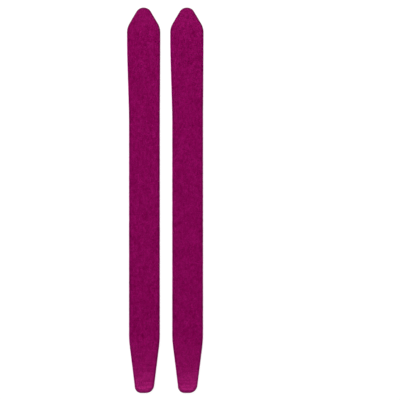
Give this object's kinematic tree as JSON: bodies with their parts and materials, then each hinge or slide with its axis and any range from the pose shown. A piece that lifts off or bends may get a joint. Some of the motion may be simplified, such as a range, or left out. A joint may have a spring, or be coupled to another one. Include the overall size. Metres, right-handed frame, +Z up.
{
  "type": "ski skin inserts",
  "caption": "Pair of flat self-adhesive plush strips with wedge tips and tapered tails, that stick under skis to grip backward and glide forward; liners peel off.",
  "frame": {"origin": "middle of the pair's outline, on the surface that the release liners lie on", "axes": "+Z up, out of the pile; +Y along the strips towards the wedge tips; +X to the right seen from above"},
  "size_m": [0.0734, 0.37, 0.003],
  "materials": {
    "plush_pile": "cut nap",
    "ground_cloth": "woven",
    "back_coating": "matt",
    "film_adhesive": "satin",
    "carrier_film": "gloss",
    "ski_adhesive": "tacky gloss",
    "liner_paper": "siliconed, satin"
  },
  "bodies": {
    "left_skin": {"left_ski_adhesive": "ski_adhesive", "left_carrier_film": "carrier_film", "left_upper_adhesive": "film_adhesive", "left_back_coating": "back_coating", "left_ground_weave": "ground_cloth", "left_pile": "plush_pile"},
    "left_front_liner": {"left_liner_front": "liner_paper"},
    "left_rear_liner": {"left_liner_rear": "liner_paper"},
    "right_skin": {"right_ski_adhesive": "ski_adhesive", "right_carrier_film": "carrier_film", "right_upper_adhesive": "film_adhesive", "right_back_coating": "back_coating", "right_ground_weave": "ground_cloth", "right_pile": "plush_pile"},
    "right_front_liner": {"right_liner_front": "liner_paper"},
    "right_rear_liner": {"right_liner_rear": "liner_paper"}
  },
  "joints": [
    {"name": "right_skin_lift", "type": "slide", "parent": "left_skin", "child": "right_skin", "axis": [0, 0, 1], "range_m": [0, 0.06]},
    {"name": "left_front_liner_peel", "type": "hinge", "parent": "left_skin", "child": "left_front_liner", "pos_m": [-0.02, 0.18505, 0.00015], "axis": [1, 0, 0], "range_deg": [0, 180]},
    {"name": "left_rear_liner_peel", "type": "hinge", "parent": "left_skin", "child": "left_rear_liner", "pos_m": [-0.02, -0.18505, 0.00015], "axis": [-1, 0, 0], "range_deg": [0, 180]},
    {"name": "right_front_liner_peel", "type": "hinge", "parent": "right_skin", "child": "right_front_liner", "pos_m": [0.0215, 0.18505, 0.00015], "axis": [1, 0, 0], "range_deg": [0, 180]},
    {"name": "right_rear_liner_peel", "type": "hinge", "parent": "right_skin", "child": "right_rear_liner", "pos_m": [0.0215, -0.18505, 0.00015], "axis": [-1, 0, 0], "range_deg": [0, 180]}
  ]
}
